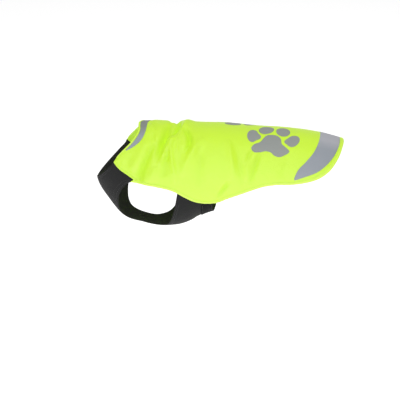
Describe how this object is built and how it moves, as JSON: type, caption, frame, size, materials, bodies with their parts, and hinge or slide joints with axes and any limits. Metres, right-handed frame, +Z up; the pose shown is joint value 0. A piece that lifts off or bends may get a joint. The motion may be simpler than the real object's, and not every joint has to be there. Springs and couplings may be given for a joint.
{
  "type": "dog safety vest",
  "caption": "High-visibility vest for a dog: a yellow back panel with grey reflective bands and paw prints, and a black stretch chest panel with leg openings.",
  "frame": {"origin": "on the spine line at the inner face of the back panel, over the wearer's shoulders, where the vest rests on the wearer", "axes": "+X from the neck towards the tail, +Y towards the wearer's right side, +Z up"},
  "size_m": [0.6717, 0.2282, 0.3],
  "materials": {
    "fluorescent_yellow_cloth": "fine woven polyester with a soft satin sheen",
    "yellow_binding_tape": "folded woven tape, satin",
    "reflective_grey_tape": "glass-bead reflective cloth, satin grey",
    "reflective_grey_print": "pressed reflective film, satin grey",
    "black_stretch_cloth": "matt stretch knit",
    "black_webbing": "ribbed woven webbing, matt"
  },
  "bodies": {
    "root": {"back_shell": "fluorescent_yellow_cloth", "hem_binding": "yellow_binding_tape", "neck_binding": "yellow_binding_tape", "collar_band": "reflective_grey_tape", "tail_band": "reflective_grey_tape", "chest_panel": "black_stretch_cloth", "belly_strap": "black_webbing", "paw_left_pad": "reflective_grey_print", "paw_left_toe_1": "reflective_grey_print", "paw_left_toe_2": "reflective_grey_print", "paw_left_toe_3": "reflective_grey_print", "paw_left_toe_4": "reflective_grey_print", "paw_right_pad": "reflective_grey_print", "paw_right_toe_1": "reflective_grey_print", "paw_right_toe_2": "reflective_grey_print", "paw_right_toe_3": "reflective_grey_print", "paw_right_toe_4": "reflective_grey_print"}
  },
  "joints": []
}
